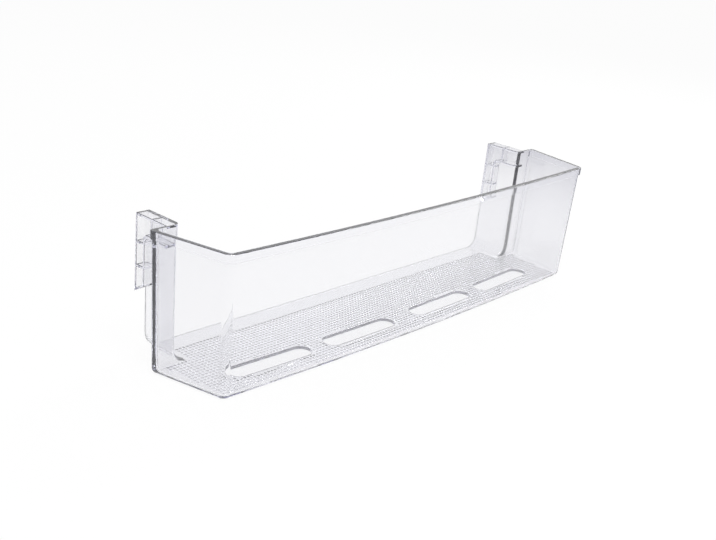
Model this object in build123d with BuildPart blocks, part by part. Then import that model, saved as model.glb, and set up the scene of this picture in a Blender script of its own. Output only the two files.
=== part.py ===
from build123d import *
import os
from math import asin, atan, cos, degrees, radians, tan

# A clear door shelf for a refrigerator: one injection moulding with hook brackets at its rear ends

# Overall size, with the widths taken across the rim at the shoulders and at the front
rear_width = 456.4
front_width = 426.6
height = 108.0
tub_depth = 65.2
plate_depth = 36.8
front_bow = 5.3

# Tub walls and rim
wall = 2.6
floor_thickness = 2.6
front_draft = 1.4
end_draft = 1.6
corner_radius = 8.0
fold_radius = 3.4
fold_edge_radius = 3.0
floor_radius = 2.4
rim_height = 6.2
rim_proud = 1.4
rim_edge_radius = 0.6

# Rear plates that stand in from the end walls, on a channel whose underside is a little above the tub's
plate_span = 409.2
plate_draft = 0.8
foot_radius = 11.0
shoulder_radius = 6.0
channel_rise = 0.1

# Hook brackets on the outer faces of the rear plates, measured down from the top
bracket_depth = 8.3
bracket_corner_radius = 1.0
bracket_edge_radius = 0.5
rib_thickness = 2.0
crown_drop = 15.8
crown_radius = 5.0
pocket_width = 23.2
post_offset = 16.2
upper_rib_drop = 21.2
lower_rib_drop = 39.2
leg_drop = 52.8
back_drop = 59.4

# Drain slots in the floor
slot_length = 76.0
slot_width = 16.0
slot_setback = 31.4
slot_row_radius = 3100.0
inner_slot_offset = 51.3
outer_slot_offset = 144.2
slot_edge_radius = 0.6

# Places along the depth, with the origin under the middle of the whole shelf
shoulder_y = (tub_depth + front_bow - plate_depth) / 2
front_corner_y = shoulder_y - tub_depth
front_middle_y = front_corner_y - front_bow
panel_back_y = shoulder_y + wall
back_y = shoulder_y + plate_depth

# The end walls draw together towards the front
toe_in = atan((rear_width - front_width) / 2 / (panel_back_y - front_corner_y))
# Tools that cut right through reach this far past the faces that they cut
overcut = 5.0
# The shoulders' bends run this far past the faces that they blend into
bend_bite = 0.1


def tub_outline(z, inset, rear_y):
    """Draws the tub's plan at height z, inset from the rim: straight rear, drawn-in ends, bowed front."""
    front_inset = inset + (height - z) * tan(radians(front_draft))
    end_inset = inset + (height - z) * tan(radians(end_draft))
    corner_y = front_corner_y + front_inset
    corner_x = front_width / 2 + front_inset * tan(toe_in) - end_inset / cos(toe_in)
    rear_x = corner_x + (rear_y - corner_y) * tan(toe_in)
    with BuildSketch(Plane.XY.offset(z)) as outline:
        with BuildLine():
            Line((-rear_x, rear_y), (-corner_x, corner_y))
            ThreePointArc((-corner_x, corner_y), (0, corner_y - front_bow), (corner_x, corner_y))
            Polyline((corner_x, corner_y), (rear_x, rear_y), (-rear_x, rear_y))
        make_face()
        fillet(outline.vertices().group_by(Axis.Y)[0], radius=corner_radius - inset)
    return outline.sketch


def plate_x(z, inset):
    """Gives a rear plate's distance from the middle at height z, inset from its outer face."""
    return plate_span / 2 - (height - z) * tan(radians(plate_draft)) - inset


def channel_section(start_y, inset, base_z, top_z):
    """Draws the rear channel's section across the shelf: two plates that sweep into the floor."""
    foot_x = plate_x(base_z, inset)
    top_x = plate_x(top_z, inset)
    with BuildSketch(Plane.XZ.offset(-start_y)) as section:
        with BuildLine():
            Polyline((-top_x, top_z), (-foot_x, base_z), (foot_x, base_z), (top_x, top_z), close=True)
        make_face()
        fillet(section.vertices().group_by(Axis.Y)[0], radius=foot_radius + wall - inset)
    return section.sketch


def bracket_ribs():
    """Draws the ribs of the right hook bracket on a plane inside its plate."""
    crown_z = height - crown_drop
    crown_top = crown_z + rib_thickness
    flange_under = height - rib_thickness
    leg_front = panel_back_y + pocket_width
    leg_back = leg_front + rib_thickness
    flange_front = back_y - rib_thickness
    half_rib = rib_thickness / 2
    post_front = panel_back_y + post_offset - half_rib
    post_back = post_front + rib_thickness
    upper_rib = height - upper_rib_drop
    lower_rib = height - lower_rib_drop
    slope = (back_drop - leg_drop) / (back_y - leg_front)
    leg_floor = height - leg_drop + rib_thickness * (1 - slope)
    back_floor = height - back_drop + rib_thickness * (1 + slope)
    with BuildSketch(Plane.YZ.offset(plate_x(0, wall))) as ribs:
        with BuildLine():
            Polyline(
                (shoulder_y, height),
                (back_y, height),
                (back_y, height - back_drop),
                (leg_front, height - leg_drop),
                (leg_front, crown_z),
                (shoulder_y, crown_z),
                close=True,
            )
        make_face()
        fillet(ribs.vertices().sort_by_distance((leg_front, crown_z))[0], radius=crown_radius)
        Polygon(
            (shoulder_y, flange_under),
            (post_front, flange_under),
            (post_front, crown_top),
            (shoulder_y, crown_top),
            align=None,
            mode=Mode.SUBTRACT,
        )
        Polygon(
            (post_back, flange_under),
            (flange_front, flange_under),
            (flange_front, upper_rib + half_rib),
            (leg_back, upper_rib + half_rib),
            (leg_back, crown_top - crown_radius / 2),
            (leg_back - crown_radius / 2, crown_top),
            (post_back, crown_top),
            align=None,
            mode=Mode.SUBTRACT,
        )
        Polygon(
            (leg_back, upper_rib - half_rib),
            (flange_front, upper_rib - half_rib),
            (flange_front, lower_rib + half_rib),
            (leg_back, lower_rib + half_rib),
            align=None,
            mode=Mode.SUBTRACT,
        )
        Polygon(
            (leg_back, lower_rib - half_rib),
            (flange_front, lower_rib - half_rib),
            (flange_front, back_floor),
            (leg_back, leg_floor),
            align=None,
            mode=Mode.SUBTRACT,
        )
    return ribs.sketch


def slot_places():
    """Places the drain slots along a shallow arc behind the bowed front wall."""
    centre_y = front_middle_y + slot_setback + slot_row_radius
    for offset in (-outer_slot_offset, -inner_slot_offset, inner_slot_offset, outer_slot_offset):
        turn = asin(offset / slot_row_radius)
        yield Location((offset, centre_y - slot_row_radius * cos(turn), 0), degrees(turn))


with BuildPart() as tub_cavity:
    cavity_top = height + overcut
    cavity_inset = rim_proud + wall
    loft(
        [
            tub_outline(floor_thickness, cavity_inset, shoulder_y),
            tub_outline(cavity_top, cavity_inset, shoulder_y),
        ]
    )
    fold_edges = tub_cavity.faces().sort_by(Axis.Y)[-1].edges().filter_by(Axis.X, reverse=True)
    fillet(fold_edges, radius=fold_radius)
    fillet(tub_cavity.faces().sort_by(Axis.Z)[0].edges(), radius=floor_radius)

with BuildPart() as rim_band:
    loft([tub_outline(height - rim_height, 0, panel_back_y), tub_outline(height, 0, panel_back_y)])
    rim_corners = rim_band.faces().sort_by(Axis.Y)[-1].edges().filter_by(Axis.X, reverse=True)
    fillet(rim_corners, radius=fold_edge_radius)
    fillet(rim_band.faces().sort_by(Axis.Z)[-1].edges(), radius=rim_edge_radius)

# Waste of the rounded corner between the right plate and its shoulder, swept down and around the foot
with BuildPart() as bend_waste:
    bend_top = height + 2 * overcut
    foot_x = plate_x(floor_thickness, wall)
    with BuildLine() as bend_path:
        FilletPolyline(
            (plate_x(bend_top, wall), shoulder_y, bend_top),
            (foot_x, shoulder_y, floor_thickness),
            (foot_x - 2 * foot_radius, shoulder_y, floor_thickness),
            radius=foot_radius,
        )
    with BuildSketch(Plane(bend_path.line @ 0, x_dir=(1, 0, 0), z_dir=bend_path.line % 0)) as bend_section:
        with Locations(((shoulder_radius - wall) / 2, (wall - shoulder_radius) / 2)):
            Rectangle(shoulder_radius + wall, shoulder_radius + wall)
        with Locations((shoulder_radius, -shoulder_radius)):
            Circle(shoulder_radius + bend_bite, mode=Mode.SUBTRACT)
    sweep(bend_section.sketch, path=bend_path.edges().sort_by(Axis.X)[1:])
    split(bisect_by=Plane.XY.offset(floor_thickness), keep=Keep.TOP)

# The right hook bracket, with its rear corner rounded and its outer edges softened
with BuildPart() as bracket:
    extrude(bracket_ribs(), amount=plate_span / 2 + bracket_depth - plate_x(0, wall))
    rear_corner = bracket.edges().filter_by(Axis.X).group_by(Axis.Z)[-1].sort_by(Axis.Y)[-1]
    fillet(rear_corner, radius=bracket_corner_radius)
    fillet(bracket.faces().sort_by(Axis.X)[-1].edges(), radius=bracket_edge_radius)

with BuildPart() as door_shelf:
    # Tub block with its rounded underside, and the rim band on top of it
    loft([tub_outline(0, rim_proud, panel_back_y), tub_outline(height - rim_height, rim_proud, panel_back_y)])
    base_edges = door_shelf.faces().sort_by(Axis.Z)[0].edges().sort_by(Axis.Y)
    fillet(base_edges[:-1], radius=floor_radius + wall)
    rear_edges = door_shelf.faces().sort_by(Axis.Y)[-1].edges().sort_by(Axis.Z)
    fillet(rear_edges[:-1], radius=fold_edge_radius)
    add(rim_band.part)
    # Rear channel and the brackets on its plates
    channel_front = shoulder_y - floor_radius - wall
    extrude(channel_section(channel_front, 0, channel_rise, height), amount=channel_front - back_y)
    add(bracket.part)
    mirror(bracket.part, about=Plane.YZ)
    # Inside of the tub and of the channel, with the shoulders' rounded outer bends
    add(tub_cavity.part, mode=Mode.SUBTRACT)
    extrude(
        channel_section(shoulder_y - overcut, wall, floor_thickness, height + overcut),
        amount=-(plate_depth + 2 * overcut),
        mode=Mode.SUBTRACT,
    )
    add(bend_waste.part, mode=Mode.SUBTRACT)
    mirror(bend_waste.part, about=Plane.YZ, mode=Mode.SUBTRACT)
    # Drain slots with softened edges
    with BuildSketch() as slots:
        with Locations(*slot_places()):
            SlotOverall(slot_length, slot_width)
    extrude(slots.sketch, amount=floor_thickness + overcut, mode=Mode.SUBTRACT)
    slot_edges = door_shelf.edges(Select.LAST).group_by(Axis.Z)
    fillet(slot_edges[0] + slot_edges[-1], radius=slot_edge_radius)

door_shelf.part.label = "door_shelf"
os.makedirs("parts", exist_ok=True)
export_step(door_shelf.part, "parts/door_shelf.step")
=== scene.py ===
"""A clear refrigerator door shelf, dressed and lit on a white table.

The shelf is one moulding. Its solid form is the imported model's, and this script adds the fine dots that are
moulded on its floor, the soft rear edges, the clear plastic, the table, the light and the camera.
"""

import logging
import math
from dataclasses import dataclass, field
from enum import Enum
from typing import Iterator, Mapping, Sequence, Union

import bmesh
import bpy
from mathutils import Matrix, Vector


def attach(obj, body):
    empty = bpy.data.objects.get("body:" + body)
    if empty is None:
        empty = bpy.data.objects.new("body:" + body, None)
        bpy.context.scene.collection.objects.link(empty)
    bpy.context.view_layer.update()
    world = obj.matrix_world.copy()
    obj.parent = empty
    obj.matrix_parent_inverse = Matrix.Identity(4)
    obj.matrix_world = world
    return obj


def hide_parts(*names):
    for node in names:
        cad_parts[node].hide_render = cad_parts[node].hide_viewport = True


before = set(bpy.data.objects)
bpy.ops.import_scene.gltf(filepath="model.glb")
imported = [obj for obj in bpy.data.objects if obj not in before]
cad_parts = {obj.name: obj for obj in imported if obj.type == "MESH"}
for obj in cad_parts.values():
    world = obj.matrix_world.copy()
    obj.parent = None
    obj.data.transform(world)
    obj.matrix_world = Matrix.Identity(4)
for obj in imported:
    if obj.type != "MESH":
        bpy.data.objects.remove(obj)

log = logging.getLogger("door_shelf")

MM = 0.001
PHOTO_WIDTH_PX = 716

Number = Union[float, "Value"]
Colour = tuple[float, float, float, float]
Corner = tuple[float, float, float]

WHITE: Colour = (1.0, 1.0, 1.0, 1.0)


class Value:
    """A number that varies over a surface, with arithmetic that adds the nodes it needs."""

    def __init__(self, bench: "ShaderBench", socket: bpy.types.NodeSocket) -> None:
        """Wraps one output socket.

        Args:
            bench: the node tree's bench, which makes the nodes of each expression.
            socket: the output that carries the number.
        """
        self.bench = bench
        self.socket = socket

    def __radd__(self, other: Number) -> "Value":
        """Adds this value to a number."""
        return self.bench.math("ADD", other, self)

    def __rsub__(self, other: Number) -> "Value":
        """Takes this value away from a number."""
        return self.bench.math("SUBTRACT", other, self)

    def __mul__(self, other: Number) -> "Value":
        """Multiplies by a number or value."""
        return self.bench.math("MULTIPLY", self, other)

    def __rmul__(self, other: Number) -> "Value":
        """Multiplies a number by this value."""
        return self.bench.math("MULTIPLY", other, self)


Input = Union[float, Sequence[float], Value, bpy.types.NodeSocket]


class ShaderBench:
    """Builds the nodes of one material or world."""

    MIX_FACTOR, MIX_FIRST, MIX_SECOND = 0, 6, 7
    MIX_RESULT = 2

    def __init__(self, owner: Union[bpy.types.Material, bpy.types.World]) -> None:
        """Clears the owner's node tree.

        Args:
            owner: the material or world that the nodes belong to.
        """
        owner.use_nodes = True
        self.tree = owner.node_tree
        self.tree.nodes.clear()

    def node(
        self,
        kind: str,
        settings: Mapping[str, object] | None = None,
        inputs: Mapping[str | int, Input] | None = None,
    ) -> bpy.types.Node:
        """Adds one node.

        Args:
            kind: Blender's name for the node's type.
            settings: properties that are set before the sockets.
            inputs: a value or a link for each named or numbered socket.

        Returns:
            The new node.
        """
        made = self.tree.nodes.new(kind)
        for name, setting in (settings or {}).items():
            setattr(made, name, setting)
        for name, given in (inputs or {}).items():
            socket = made.inputs[name]
            if isinstance(given, Value):
                self.tree.links.new(given.socket, socket)
            elif isinstance(given, bpy.types.NodeSocket):
                self.tree.links.new(given, socket)
            else:
                socket.default_value = given
        return made

    def math(self, operation: str, *terms: Number) -> Value:
        """Adds a Math node.

        Args:
            operation: the node's operation.
            terms: its inputs in order.

        Returns:
            The node's result.
        """
        made = self.node("ShaderNodeMath", {"operation": operation}, dict(enumerate(terms)))
        return Value(self, made.outputs[0])

    def fade(self, measure: bpy.types.NodeSocket, low: float, high: float) -> Value:
        """Adds a smooth step.

        Args:
            measure: the number that is compared.
            low: where the step starts.
            high: where the step ends.

        Returns:
            0 up to low, 1 from high on, and a smooth change between them.
        """
        made = self.node(
            "ShaderNodeMapRange",
            {"interpolation_type": "SMOOTHSTEP"},
            {"Value": measure, "From Min": low, "From Max": high},
        )
        return Value(self, made.outputs["Result"])

    def dim(self, share: Value, tint: Colour) -> bpy.types.NodeSocket:
        """Adds a mix of white and a dim tint.

        Args:
            share: how much of the tint shows.
            tint: the dim colour.

        Returns:
            The mixed colour.
        """
        mix = {self.MIX_FACTOR: share, self.MIX_FIRST: WHITE, self.MIX_SECOND: tint}
        made = self.node("ShaderNodeMix", {"data_type": "RGBA"}, mix)
        return made.outputs[self.MIX_RESULT]


class LampShape(Enum):
    """The outlines that a soft lamp comes in."""

    PANEL = "RECTANGLE"
    ROUND = "DISK"


@dataclass(frozen=True)
class ClearPlastic:
    """Clear polished styrene with a cool cast, a faint haze and the slight waves of a moulded sheet."""

    name: str = "clear_plastic"
    tint: Colour = (0.978, 0.978, 0.981, 1.0)
    clearness: float = 0.955
    refraction: float = 1.57
    polish: float = 0.015
    haze: float = 0.03
    haze_per_metre: float = 180.0
    haze_detail: float = 3.0
    wave_per_metre: float = 22.0
    wave_detail: float = 1.0
    wave_height: float = 0.05 * MM
    depth_tint: Colour = (0.58, 0.58, 0.80, 1.0)
    depth_density: float = 24.0

    def make(self) -> bpy.types.Material:
        """Makes the material.

        Returns:
            The finished material.
        """
        material = bpy.data.materials.new(self.name)
        bench = ShaderBench(material)
        place = bench.node("ShaderNodeTexCoord").outputs["Object"]
        cloud = bench.node(
            "ShaderNodeTexNoise",
            inputs={"Vector": place, "Scale": self.haze_per_metre, "Detail": self.haze_detail},
        )
        wave = bench.node(
            "ShaderNodeTexNoise",
            inputs={"Vector": place, "Scale": self.wave_per_metre, "Detail": self.wave_detail},
        )
        roughness = self.polish + self.haze * Value(bench, cloud.outputs["Fac"])
        waves = bench.node(
            "ShaderNodeBump",
            inputs={"Distance": self.wave_height, "Height": wave.outputs["Fac"]},
        )
        plastic = bench.node(
            "ShaderNodeBsdfPrincipled",
            inputs={
                "Base Color": self.tint,
                "Roughness": roughness,
                "IOR": self.refraction,
                "Transmission Weight": self.clearness,
                "Normal": waves.outputs["Normal"],
            },
        )
        depth = bench.node(
            "ShaderNodeVolumeAbsorption",
            inputs={"Color": self.depth_tint, "Density": self.depth_density},
        )
        bench.node(
            "ShaderNodeOutputMaterial",
            inputs={"Surface": plastic.outputs["BSDF"], "Volume": depth.outputs["Volume"]},
        )
        return material


@dataclass(frozen=True)
class WhiteTable:
    """A white table top with a faint trace of the shelf's shadow, dim far off as seen through the plastic."""

    name: str = "white_table"
    paint: Colour = (0.9, 0.9, 0.9, 1.0)
    glow: float = 1.0
    shadow_share: float = 0.06
    dim_tint: Colour = (0.44, 0.44, 0.51, 1.0)
    bright_middle: Corner = (0.08, 0.10, 0.0)
    dim_from: float = 0.25
    dim_to: float = 0.80

    def make(self) -> bpy.types.Material:
        """Makes the material.

        Returns:
            The finished material.
        """
        material = bpy.data.materials.new(self.name)
        bench = ShaderBench(material)
        path = bench.node("ShaderNodeLightPath").outputs
        direct = Value(bench, path["Is Camera Ray"])
        seen = bench.math("MAXIMUM", direct, Value(bench, path["Is Glossy Ray"]))
        seen = bench.math("MAXIMUM", seen, Value(bench, path["Is Transmission Ray"]))
        paint = bench.node("ShaderNodeBsdfDiffuse", inputs={"Color": self.paint})
        reach = bench.node(
            "ShaderNodeVectorMath",
            {"operation": "DISTANCE"},
            {0: bench.node("ShaderNodeTexCoord").outputs["Object"], 1: self.bright_middle},
        )
        far = bench.fade(reach.outputs["Value"], self.dim_from, self.dim_to)
        colour = bench.dim((1.0 - direct) * far, self.dim_tint)
        glow = bench.node("ShaderNodeEmission", inputs={"Color": colour, "Strength": self.glow})
        mixed = bench.node(
            "ShaderNodeMixShader",
            inputs={0: seen * (1 - self.shadow_share), 1: paint.outputs[0], 2: glow.outputs[0]},
        )
        bench.node("ShaderNodeOutputMaterial", inputs={"Surface": mixed.outputs[0]})
        return material


@dataclass
class DottedFloor:
    """The square lattice of small domes that is moulded on the shelf's floor."""

    floor_top: float = 2.6 * MM
    pitch: float = 3.28 * MM
    dome_radius: float = 1.2 * MM
    dome_height: float = 0.43 * MM
    dome_root: float = 0.4 * MM
    dome_sides: int = 8
    ring_share: float = 0.62
    ring_rise: float = 0.72
    shoulder_y: float = 16.85 * MM
    back_y: float = 36.05 * MM
    back_half_width: float = 188.0 * MM
    front_middle_y: float = -42.25 * MM
    front_bow: float = 3.6 * MM
    front_half_width: float = 203.1 * MM
    end_slope: float = 0.133
    slot_margin: float = 1.0 * MM
    slot_half_width: float = 8.0 * MM
    slot_half_length: float = 38.0 * MM
    slot_places: tuple[tuple[float, float, float], ...] = (
        (51.3 * MM, -21.8 * MM, 0.95),
        (144.2 * MM, -18.9 * MM, 2.67),
    )

    def front_y(self, x: float) -> float:
        """Gives the front edge of the dots at a distance from the middle.

        Args:
            x: the distance along the shelf.

        Returns:
            The edge's place along the depth.
        """
        return self.front_middle_y + self.front_bow * (x / self.front_half_width) ** 2

    def half_width(self, y: float) -> float:
        """Gives how far the dots reach from the middle.

        Args:
            y: the place along the depth.

        Returns:
            Half of the dotted width there.
        """
        if y > self.shoulder_y:
            return self.back_half_width
        return self.front_half_width + (y - self.front_middle_y) * self.end_slope

    def slot_distance(self, x: float, y: float) -> float:
        """Measures the way from a point to the nearest slot's edge.

        Args:
            x: the point's place along the shelf.
            y: the point's place along the depth.

        Returns:
            The distance, which is negative inside a slot.
        """
        straight = self.slot_half_length - self.slot_half_width
        nearest = math.inf
        for slot_x, slot_y, turn_deg in self.slot_places:
            turn = math.radians(turn_deg)
            across, along = abs(x) - slot_x, y - slot_y
            u = across * math.cos(turn) + along * math.sin(turn)
            v = along * math.cos(turn) - across * math.sin(turn)
            gap = math.hypot(max(abs(u) - straight, 0.0), v) - self.slot_half_width
            nearest = min(nearest, gap)
        return nearest

    def places(self) -> Iterator[tuple[float, float]]:
        """Walks over the lattice.

        Returns:
            Each dome's place along the shelf and along the depth.
        """
        columns = int(self.half_width(self.shoulder_y) / self.pitch)
        rows = int((self.back_y - self.front_middle_y) / self.pitch)
        for row in range(rows + 1):
            y = self.back_y - self.pitch * (row + 0.5)
            for column in range(-columns, columns + 1):
                x = column * self.pitch
                inside = abs(x) < self.half_width(y) and y > self.front_y(x)
                if inside and self.slot_distance(x, y) > self.slot_margin + self.dome_radius:
                    yield x, y

    def build(self) -> bpy.types.Object:
        """Builds every dome as a closed cap that is rooted in the floor.

        Returns:
            One object that holds all the domes.
        """
        sides = self.dome_sides
        rings = ((1.0, -self.dome_root), (1.0, 0.0), (self.ring_share, self.ring_rise * self.dome_height))
        circle = [(math.cos(math.tau * k / sides), math.sin(math.tau * k / sides)) for k in range(sides)]
        corners: list[Corner] = []
        faces: list[tuple[int, ...]] = []
        for x, y in self.places():
            first = len(corners)
            for share, rise in rings:
                reach = share * self.dome_radius
                corners.extend((x + reach * c, y + reach * s, self.floor_top + rise) for c, s in circle)
            crown = len(corners)
            corners.append((x, y, self.floor_top + self.dome_height))
            faces.append(tuple(first + k for k in reversed(range(sides))))
            for ring in range(len(rings) - 1):
                low, high = first + ring * sides, first + (ring + 1) * sides
                for k in range(sides):
                    n = (k + 1) % sides
                    faces.append((low + k, low + n, high + n, high + k))
            last = first + (len(rings) - 1) * sides
            faces.extend((last + k, last + (k + 1) % sides, crown) for k in range(sides))
        mesh = bpy.data.meshes.new("floor_dots")
        mesh.from_pydata(corners, [], faces)
        dots = bpy.data.objects.new("floor_dots", mesh)
        bpy.context.scene.collection.objects.link(dots)
        log.info("floor dots: %d faces", len(faces))
        return dots


@dataclass
class ShelfMoulding:
    """The whole shelf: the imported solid's form with soft rear edges and the dots grown onto its floor."""

    node: str = "door_shelf"
    name: str = "shelf_moulding"
    slot: str = "clear_plastic"
    weld: float = 0.0005 * MM
    crease_deg: float = 28.0
    flat_deg: float = 1.0
    flat_weight: int = 100
    rear_edge_radius: float = 0.6 * MM
    rear_edge_steps: int = 3
    round_profile: float = 0.5
    dots: DottedFloor = field(default_factory=DottedFloor)
    plastic: ClearPlastic = field(default_factory=ClearPlastic)

    def shell(self) -> bpy.types.Object:
        """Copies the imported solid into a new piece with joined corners.

        Returns:
            The copy.
        """
        draft = bmesh.new()
        draft.from_mesh(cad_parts[self.node].data)
        bmesh.ops.remove_doubles(draft, verts=draft.verts, dist=self.weld)
        bmesh.ops.recalc_face_normals(draft, faces=draft.faces)
        self.soften_rear(draft)
        draft.verts.index_update()
        corners = [tuple(v.co) for v in draft.verts]
        faces = [tuple(v.index for v in f.verts) for f in draft.faces]
        draft.free()
        mesh = bpy.data.meshes.new(self.name)
        mesh.from_pydata(corners, [], faces)
        piece = bpy.data.objects.new(self.name, mesh)
        bpy.context.scene.collection.objects.link(piece)
        return piece

    def soften_rear(self, draft: bmesh.types.BMesh) -> None:
        """Rounds the sharp edges around the open back.

        Args:
            draft: the joined shell.
        """
        rear_y = max(v.co.y for v in draft.verts) - self.weld
        rear = [e for e in draft.edges if min(v.co.y for v in e.verts) > rear_y]
        flat = [e for e in rear if e.calc_face_angle() < math.radians(self.flat_deg)]
        sharp = [e for e in rear if e.calc_face_angle() > math.radians(self.crease_deg)]
        bmesh.ops.dissolve_edges(draft, edges=flat)
        bmesh.ops.bevel(
            draft,
            geom=[e for e in sharp if e.is_valid],
            offset=self.rear_edge_radius,
            segments=self.rear_edge_steps,
            profile=self.round_profile,
            affect="EDGES",
        )
        log.info("rear edges: %d rounded", len(sharp))

    def grow_dots(self, piece: bpy.types.Object) -> None:
        """Joins the domes to the floor as one skin.

        Args:
            piece: the shell that takes them.
        """
        dots = self.dots.build()
        join = piece.modifiers.new("dots", "BOOLEAN")
        join.operation = "UNION"
        join.solver = "MANIFOLD"
        join.object = dots
        self.settle(piece)
        bpy.data.objects.remove(dots)

    def smooth(self, piece: bpy.types.Object) -> None:
        """Shades the bends smoothly and keeps the flat walls flat.

        Args:
            piece: the joined shell.
        """
        piece.data.shade_smooth()
        piece.data.set_sharp_from_angle(angle=math.radians(self.crease_deg))
        flatten = piece.modifiers.new("flat_walls", "WEIGHTED_NORMAL")
        flatten.mode = "FACE_AREA"
        flatten.weight = self.flat_weight
        flatten.keep_sharp = True
        self.settle(piece)

    @staticmethod
    def settle(piece: bpy.types.Object) -> None:
        """Makes the modifiers' result the piece's own mesh.

        Args:
            piece: the piece whose modifiers are used up.
        """
        graph = bpy.context.evaluated_depsgraph_get()
        settled = bpy.data.meshes.new_from_object(piece.evaluated_get(graph))
        piece.modifiers.clear()
        piece.data = settled

    def build(self) -> bpy.types.Object:
        """Builds and dresses the shelf.

        Returns:
            The finished piece.
        """
        piece = self.shell()
        self.grow_dots(piece)
        self.smooth(piece)
        piece.data.materials.clear()
        piece.data.materials.append(self.plastic.make())
        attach(piece, "root")
        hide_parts(self.node)
        log.info("shelf moulding: %d faces", len(piece.data.polygons))
        return piece


@dataclass
class SoftLamp:
    """One soft lamp that looks at the middle of the shelf."""

    name: str
    place: Corner
    size: float
    power: float
    shape: LampShape = LampShape.PANEL

    def build(self) -> bpy.types.Object:
        """Builds the lamp.

        Returns:
            The lamp's object.
        """
        data = bpy.data.lights.new(self.name, "AREA")
        data.shape = self.shape.value
        data.size = self.size
        data.energy = self.power
        lamp = bpy.data.objects.new(self.name, data)
        lamp.location = self.place
        lamp.rotation_euler = (-Vector(self.place)).to_track_quat("-Z", "Y").to_euler()
        bpy.context.scene.collection.objects.link(lamp)
        return lamp


@dataclass
class Studio:
    """The white table, the white surround and the soft lamps."""

    table_half: float = 6.0
    table_z: float = -0.2 * MM
    surround: float = 1.0
    fill: float = 0.55
    dim_tint: Colour = (0.36, 0.36, 0.44, 1.0)
    dim_way: Corner = (-0.40, -0.35, 0.85)
    dim_from: float = -0.30
    dim_to: float = 0.25
    table: WhiteTable = field(default_factory=WhiteTable)
    lamps: tuple[SoftLamp, ...] = (
        SoftLamp("key_lamp", (-0.5, -0.7, 1.3), 0.9, 14.0),
        SoftLamp("side_lamp", (1.1, 0.3, 0.9), 0.7, 7.0, LampShape.ROUND),
    )

    def build_table(self) -> bpy.types.Object:
        """Builds the table top just under the shelf.

        Returns:
            The table's object.
        """
        h = self.table_half
        mesh = bpy.data.meshes.new("table_top")
        corners = [(-h, -h, self.table_z), (h, -h, self.table_z), (h, h, self.table_z), (-h, h, self.table_z)]
        mesh.from_pydata(corners, [], [(0, 1, 2, 3)])
        mesh.materials.append(self.table.make())
        top = bpy.data.objects.new("table_top", mesh)
        bpy.context.scene.collection.objects.link(top)
        return top

    def build_surround(self) -> None:
        """Makes the surround: white to the camera, dim on one side through the plastic, and a soft fill."""
        world = bpy.data.worlds.new("white_surround")
        bpy.context.scene.world = world
        bench = ShaderBench(world)
        path = bench.node("ShaderNodeLightPath").outputs
        direct = Value(bench, path["Is Camera Ray"])
        bent = Value(bench, path["Is Transmission Ray"])
        through = bench.math("MAXIMUM", Value(bench, path["Is Glossy Ray"]), bent)
        facing = bench.node(
            "ShaderNodeVectorMath",
            {"operation": "DOT_PRODUCT"},
            {0: bench.node("ShaderNodeTexCoord").outputs["Generated"], 1: self.dim_way},
        )
        dim_side = bench.fade(facing.outputs["Value"], self.dim_from, self.dim_to)
        colour = bench.dim(through * dim_side, self.dim_tint)
        strength = self.fill + (self.surround - self.fill) * bench.math("MAXIMUM", direct, through)
        light = bench.node("ShaderNodeBackground", inputs={"Color": colour, "Strength": strength})
        bench.node("ShaderNodeOutputWorld", inputs={"Surface": light.outputs[0]})

    def build(self) -> None:
        """Builds the table, the surround and the lamps."""
        self.build_table()
        self.build_surround()
        for lamp in self.lamps:
            lamp.build()
        log.info("studio: %d lamps", len(self.lamps))


@dataclass
class PhotoCamera:
    """The camera at the photograph's place."""

    place: Corner = (-0.61887, -0.50645, 0.33967)
    turn_deg: float = -49.120
    tilt_deg: float = 20.948
    roll_deg: float = 5.888
    focal_px: float = 1024.57
    sensor_mm: float = 36.0
    clip_start: float = 0.01

    def axes(self) -> tuple[Vector, Vector, Vector]:
        """Works out the camera's directions.

        Returns:
            The directions to the picture's right, to its top and out of it towards the viewer.
        """
        turn, tilt, roll = (math.radians(a) for a in (self.turn_deg, self.tilt_deg, self.roll_deg))
        level = Vector((math.cos(turn), math.sin(turn), 0.0))
        ahead = Vector((-math.sin(turn), math.cos(turn), 0.0))
        upright = Vector((0.0, 0.0, 1.0))
        forward = ahead * math.cos(tilt) - upright * math.sin(tilt)
        rise = ahead * math.sin(tilt) + upright * math.cos(tilt)
        right = level * math.cos(roll) + rise * math.sin(roll)
        top = rise * math.cos(roll) - level * math.sin(roll)
        return right, top, -forward

    def build(self) -> bpy.types.Object:
        """Builds the camera and makes it the scene's own.

        Returns:
            The camera's object.
        """
        data = bpy.data.cameras.new("photo_camera")
        data.sensor_width = self.sensor_mm
        data.lens = self.focal_px * self.sensor_mm / PHOTO_WIDTH_PX
        data.clip_start = self.clip_start
        camera = bpy.data.objects.new("photo_camera", data)
        pose = Matrix(self.axes()).transposed().to_4x4()
        pose.translation = Vector(self.place)
        camera.matrix_world = pose
        bpy.context.scene.collection.objects.link(camera)
        bpy.context.scene.camera = camera
        return camera


def main() -> None:
    """Builds the camera, the shelf and the studio in order."""
    logging.basicConfig(level=logging.INFO, format="%(name)s %(message)s")
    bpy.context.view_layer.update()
    bpy.context.scene.view_settings.view_transform = "Standard"
    PhotoCamera().build()
    ShelfMoulding().build()
    Studio().build()


if __name__ == "__main__":
    main()
